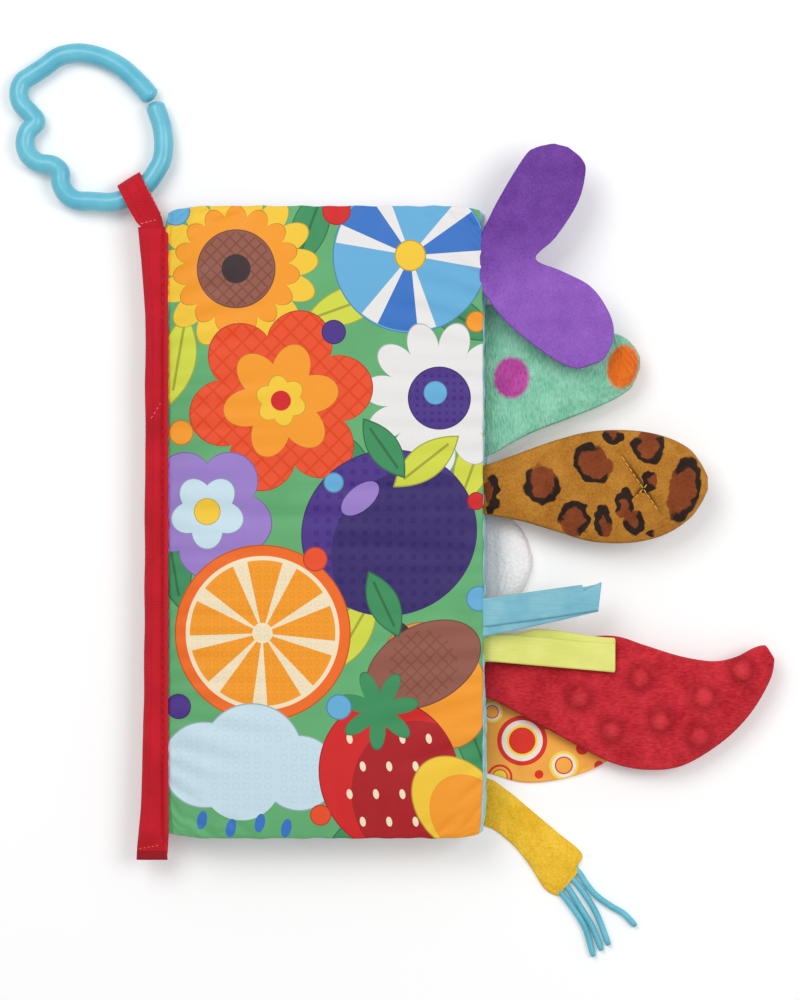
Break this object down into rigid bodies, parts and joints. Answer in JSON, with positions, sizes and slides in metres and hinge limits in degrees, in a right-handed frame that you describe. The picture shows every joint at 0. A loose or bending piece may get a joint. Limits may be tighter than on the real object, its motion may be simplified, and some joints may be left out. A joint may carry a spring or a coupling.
{
  "type": "crinkle cloth book",
  "caption": "Soft cloth book of padded crinkle leaves in a tape spine, with plush tails and ribbon loops sewn to the page edges and a plastic link ring.",
  "frame": {"origin": "centre of the back cover's flat resting face", "axes": "+X from the spine to the free page edges, +Y up the page, +Z out of the front cover"},
  "size_m": [0.2929, 0.3509, 0.0236],
  "materials": {
    "printed_satin": "printed satin weave",
    "wadding": "loose polyester fill",
    "crinkle_film": "thin crinkled film",
    "red_tape": "woven cotton tape",
    "ring_plastic": "satin moulded plastic",
    "purple_fleece": "short-pile fleece",
    "mint_plush": "ribbed chenille plush",
    "leopard_plush": "printed short-pile plush",
    "white_plush": "long soft plush",
    "red_plush": "plush with raised bumps",
    "circle_satin": "printed satin",
    "yellow_fleece": "short-pile fleece",
    "teal_ribbon": "satin ribbon",
    "lime_ribbon": "satin ribbon",
    "teal_cord": "round woven cord"
  },
  "bodies": {
    "book_base": {"back_cover_front_page": "printed_satin", "back_cover_back_page": "printed_satin", "back_cover_wadding": "wadding", "back_cover_crinkle_film": "crinkle_film", "back_cover_spine_seam": "printed_satin", "leaf_3_spine_seam": "printed_satin", "leaf_2_spine_seam": "printed_satin", "front_cover_spine_seam": "printed_satin", "spine_binding": "red_tape", "orange_tail_front": "circle_satin", "orange_tail_back": "circle_satin", "orange_tail_stuffing": "wadding"},
    "front_cover": {"front_cover_front_page": "printed_satin", "front_cover_back_page": "printed_satin", "front_cover_wadding": "wadding", "front_cover_crinkle_film": "crinkle_film"},
    "leaf_2": {"leaf_2_front_page": "printed_satin", "leaf_2_back_page": "printed_satin", "leaf_2_wadding": "wadding", "leaf_2_crinkle_film": "crinkle_film"},
    "leaf_3": {"leaf_3_front_page": "printed_satin", "leaf_3_back_page": "printed_satin", "leaf_3_wadding": "wadding", "leaf_3_crinkle_film": "crinkle_film"},
    "hanging_loop": {"hanging_loop": "red_tape"},
    "link_ring": {"link_ring": "ring_plastic"},
    "purple_tail": {"purple_tail_front": "purple_fleece", "purple_tail_back": "purple_fleece"},
    "green_tail": {"green_tail_front": "mint_plush", "green_tail_back": "mint_plush", "green_tail_stuffing": "wadding"},
    "leopard_tail": {"leopard_tail_front": "leopard_plush", "leopard_tail_back": "leopard_plush", "leopard_tail_stuffing": "wadding"},
    "white_tail": {"white_tail_front": "white_plush", "white_tail_back": "white_plush", "white_tail_stuffing": "wadding"},
    "red_tail": {"red_tail_front": "red_plush", "red_tail_back": "red_plush", "red_tail_stuffing": "wadding"},
    "yellow_tail": {"yellow_tail_front": "yellow_fleece", "yellow_tail_back": "yellow_fleece", "yellow_tail_stuffing": "wadding", "fringe_cord_1": "teal_cord", "fringe_cord_2": "teal_cord", "fringe_cord_3": "teal_cord", "fringe_cord_4": "teal_cord"},
    "teal_ribbon": {"teal_ribbon": "teal_ribbon"},
    "lime_ribbon": {"lime_ribbon": "lime_ribbon"}
  },
  "joints": [
    {"name": "front_cover_turn", "type": "hinge", "parent": "book_base", "child": "front_cover", "pos_m": [-0.06, 0, 0.0177], "axis": [0, -1, 0], "range_deg": [0, 165]},
    {"name": "leaf_2_turn", "type": "hinge", "parent": "book_base", "child": "leaf_2", "pos_m": [-0.06, 0, 0.0142], "axis": [0, -1, 0], "range_deg": [0, 66]},
    {"name": "leaf_3_turn", "type": "hinge", "parent": "book_base", "child": "leaf_3", "pos_m": [-0.06, 0, 0.0107], "axis": [0, -1, 0], "range_deg": [0, 33]},
    {"name": "hanging_loop_flex", "type": "hinge", "parent": "book_base", "child": "hanging_loop", "pos_m": [-0.0664, 0.11255, 0.01265], "axis": [-1, 0, 0], "range_deg": [-90, 0]},
    {"name": "link_ring_swing", "type": "hinge", "parent": "hanging_loop", "child": "link_ring", "pos_m": [-0.0733, 0.12624, 0.00605], "axis": [-0.848, -0.5299, 0], "range_deg": [-100, 0]},
    {"name": "purple_tail_flap", "type": "hinge", "parent": "front_cover", "child": "purple_tail", "pos_m": [0.05985, 0.1011, 0.02145], "axis": [0, -1, 0], "range_deg": [0, 60]},
    {"name": "teal_ribbon_flap", "type": "hinge", "parent": "front_cover", "child": "teal_ribbon", "pos_m": [0.05985, -0.03648, 0.02145], "axis": [0, -1, 0], "range_deg": [0, 60]},
    {"name": "leopard_tail_flap", "type": "hinge", "parent": "leaf_2", "child": "leopard_tail", "pos_m": [0.06055, 0.01224, 0.01545], "axis": [0, -1, 0], "range_deg": [0, 60]},
    {"name": "lime_ribbon_flap", "type": "hinge", "parent": "leaf_2", "child": "lime_ribbon", "pos_m": [0.06055, -0.0486, 0.01545], "axis": [0, -1, 0], "range_deg": [0, 33]},
    {"name": "green_tail_flap", "type": "hinge", "parent": "leaf_3", "child": "green_tail", "pos_m": [0.06125, 0.054, 0.00945], "axis": [0, -1, 0], "range_deg": [0, 7]},
    {"name": "red_tail_flap", "type": "hinge", "parent": "leaf_3", "child": "red_tail", "pos_m": [0.06125, -0.0585, 0.00945], "axis": [0, -1, 0], "range_deg": [0, 30]},
    {"name": "white_tail_flap", "type": "hinge", "parent": "book_base", "child": "white_tail", "pos_m": [0.06195, -0.01476, 0.0013], "axis": [0, -1, 0], "range_deg": [0, 40]},
    {"name": "yellow_tail_flap", "type": "hinge", "parent": "book_base", "child": "yellow_tail", "pos_m": [0.06195, -0.10716, 0.0013], "axis": [0, -1, 0], "range_deg": [0, 60]}
  ],
  "couplings": [
    {"joint": "leaf_2_turn", "follows": "front_cover_turn", "ratio": 0.4},
    {"joint": "leaf_3_turn", "follows": "front_cover_turn", "ratio": 0.2},
    {"joint": "lime_ribbon_flap", "follows": "red_tail_flap", "ratio": 1.1}
  ]
}
